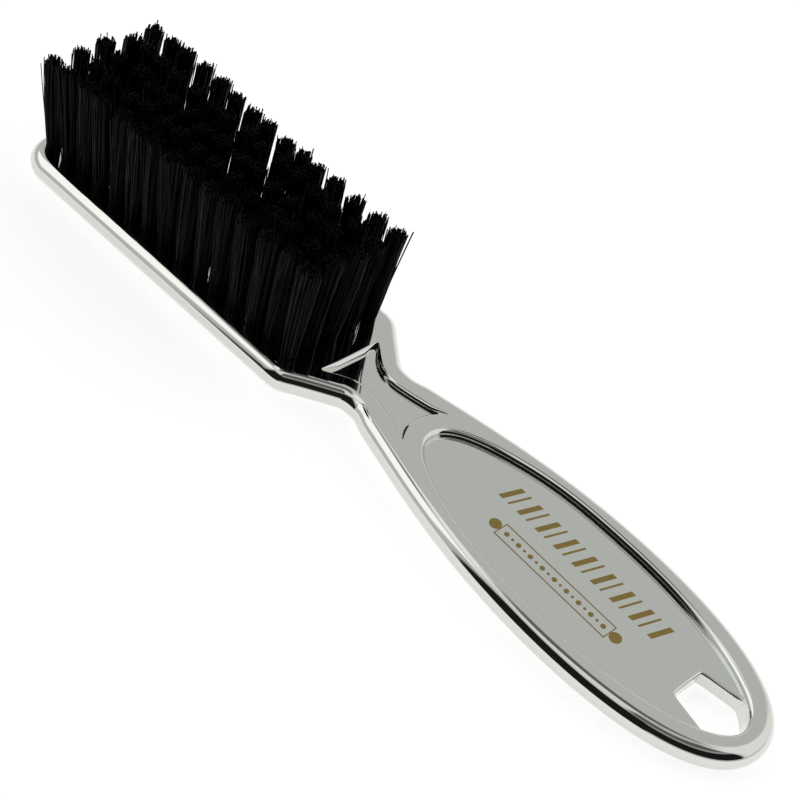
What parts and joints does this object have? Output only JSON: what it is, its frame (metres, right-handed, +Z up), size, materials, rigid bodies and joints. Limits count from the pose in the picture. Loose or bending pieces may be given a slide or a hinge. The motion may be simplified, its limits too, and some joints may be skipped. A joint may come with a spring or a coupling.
{
  "type": "fade brush",
  "caption": "Barber's fade brush: flat chrome-plated paddle with an oval recessed handle, a hanging hole and a field of stiff black bristle tufts.",
  "frame": {"origin": "centre of the footprint, on the surface that the brush lies on with its bristles up", "axes": "+X towards the handle's tip, +Z up along the bristles, Y across the brush"},
  "size_m": [0.1776, 0.0328, 0.0278],
  "materials": {
    "body": "mirror-polished chrome plating on moulded plastic",
    "bristles": "black nylon filaments",
    "anchors": "flat staple wire"
  },
  "bodies": {
    "root": {"handle_body": "body", "tuft_column_01": "bristles", "tuft_column_02": "bristles", "tuft_column_03": "bristles", "tuft_column_04": "bristles", "tuft_column_05": "bristles", "tuft_column_06": "bristles", "tuft_column_07": "bristles", "tuft_column_08": "bristles", "tuft_column_09": "bristles", "tuft_column_10": "bristles", "tuft_column_11": "bristles", "tuft_column_12": "bristles", "tuft_column_13": "bristles", "tuft_column_14": "bristles", "tuft_column_15": "bristles", "anchor_column_01": "anchors", "anchor_column_02": "anchors", "anchor_column_03": "anchors", "anchor_column_04": "anchors", "anchor_column_05": "anchors", "anchor_column_06": "anchors", "anchor_column_07": "anchors", "anchor_column_08": "anchors", "anchor_column_09": "anchors", "anchor_column_10": "anchors", "anchor_column_11": "anchors", "anchor_column_12": "anchors", "anchor_column_13": "anchors", "anchor_column_14": "anchors", "anchor_column_15": "anchors"}
  },
  "joints": []
}
